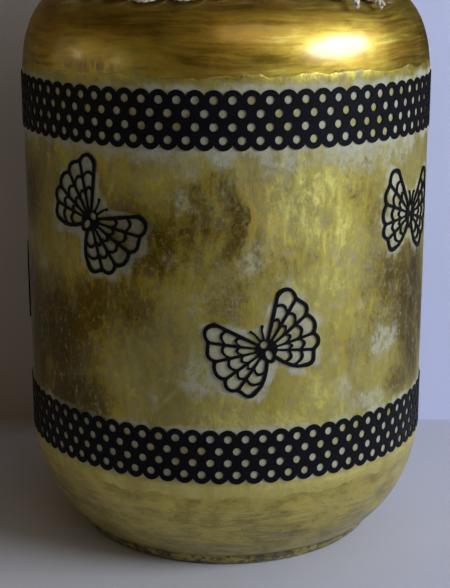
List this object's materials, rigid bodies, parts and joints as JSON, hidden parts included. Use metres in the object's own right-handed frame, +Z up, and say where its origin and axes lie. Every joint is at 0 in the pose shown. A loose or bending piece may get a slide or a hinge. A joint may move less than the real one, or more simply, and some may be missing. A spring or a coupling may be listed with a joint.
{
  "type": "jar lantern",
  "caption": "Wide-mouth glass jar lantern wrapped in gilded tissue with black scalloped eyelet bands and openwork butterflies, a wire bail handle and a lift-out tea light.",
  "frame": {"origin": "centre of the jar's base, in the plane of its foot ring", "axes": "+Z up along the jar's axis, -Y towards the front, +X to the right, along the axis the bail swings on"},
  "size_m": [0.1054, 0.0998, 0.2395],
  "materials": {
    "painted_glass": "gloss",
    "gilded_tissue": "satin",
    "black_sticker": "satin",
    "wire": "satin",
    "lace": "matte",
    "cord": "matte",
    "cup_foil": "satin",
    "wax": "satin",
    "tinned_steel": "satin",
    "wick_cotton": "matte"
  },
  "bodies": {
    "jar": {"glass_jar": "painted_glass", "tissue_wrap": "gilded_tissue", "upper_eyelet_band": "black_sticker", "lower_eyelet_band": "black_sticker", "butterfly_front": "black_sticker", "butterfly_left": "black_sticker", "butterfly_right": "black_sticker", "butterfly_far_left": "black_sticker", "butterfly_back_right": "black_sticker", "butterfly_back": "black_sticker", "butterfly_back_left": "black_sticker", "neck_wire": "wire", "lace_trim": "lace", "neck_cord": "cord", "cord_bow": "cord"},
    "bail": {"bail_handle": "wire"},
    "candle": {"candle_cup": "cup_foil", "candle_wax": "wax", "wick_tab": "tinned_steel", "wick": "wick_cotton"}
  },
  "joints": [
    {"name": "bail_swing", "type": "hinge", "parent": "jar", "child": "bail", "pos_m": [0, 0, 0.1426], "axis": [1, 0, 0], "range_deg": [-140, 140]},
    {"name": "candle_lift", "type": "slide", "parent": "jar", "child": "candle", "axis": [0, 0, 1], "range_m": [0, 0.152]}
  ]
}
